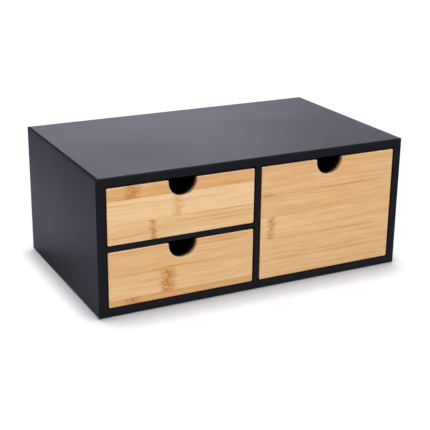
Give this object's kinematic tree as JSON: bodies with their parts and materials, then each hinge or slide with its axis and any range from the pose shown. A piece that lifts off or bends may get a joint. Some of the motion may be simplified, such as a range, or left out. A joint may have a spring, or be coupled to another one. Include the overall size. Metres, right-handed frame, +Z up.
{
  "type": "desktop drawer organizer",
  "caption": "Low black box-shaped desktop organizer with two shallow drawers beside one deep drawer, bamboo fronts and round finger notches.",
  "frame": {"origin": "centre of the footprint, at the underside of the pads", "axes": "+X to the right as seen from the front, +Y to the back, +Z up; the drawers open towards -Y"},
  "size_m": [0.29, 0.175, 0.12],
  "materials": {
    "black_paint": "satin black paint on board",
    "bamboo": "clear satin lacquer on laminated bamboo",
    "dowel_wood": "plain beech",
    "steel": "zinc plated",
    "pad_foam": "matt foam"
  },
  "bodies": {
    "case": {"case_top": "black_paint", "case_bottom": "black_paint", "case_left_side": "black_paint", "case_right_side": "black_paint", "case_divider": "black_paint", "case_shelf": "black_paint", "case_back": "black_paint", "case_dowels": "dowel_wood", "back_nails": "steel", "foot_pads": "pad_foam"},
    "upper_drawer": {"upper_front": "bamboo", "upper_box_front": "black_paint", "upper_left_side": "black_paint", "upper_right_side": "black_paint", "upper_back": "black_paint", "upper_bottom": "black_paint", "upper_screws": "steel", "upper_brads": "steel"},
    "lower_drawer": {"lower_front": "bamboo", "lower_box_front": "black_paint", "lower_left_side": "black_paint", "lower_right_side": "black_paint", "lower_back": "black_paint", "lower_bottom": "black_paint", "lower_screws": "steel", "lower_brads": "steel"},
    "tall_drawer": {"tall_front": "bamboo", "tall_box_front": "black_paint", "tall_left_side": "black_paint", "tall_right_side": "black_paint", "tall_back": "black_paint", "tall_bottom": "black_paint", "tall_screws": "steel", "tall_brads": "steel"}
  },
  "joints": [
    {"name": "upper_slide", "type": "slide", "parent": "case", "child": "upper_drawer", "axis": [0, -1, 0], "range_m": [0, 0.145]},
    {"name": "lower_slide", "type": "slide", "parent": "case", "child": "lower_drawer", "axis": [0, -1, 0], "range_m": [0, 0.145]},
    {"name": "tall_slide", "type": "slide", "parent": "case", "child": "tall_drawer", "axis": [0, -1, 0], "range_m": [0, 0.145]}
  ]
}
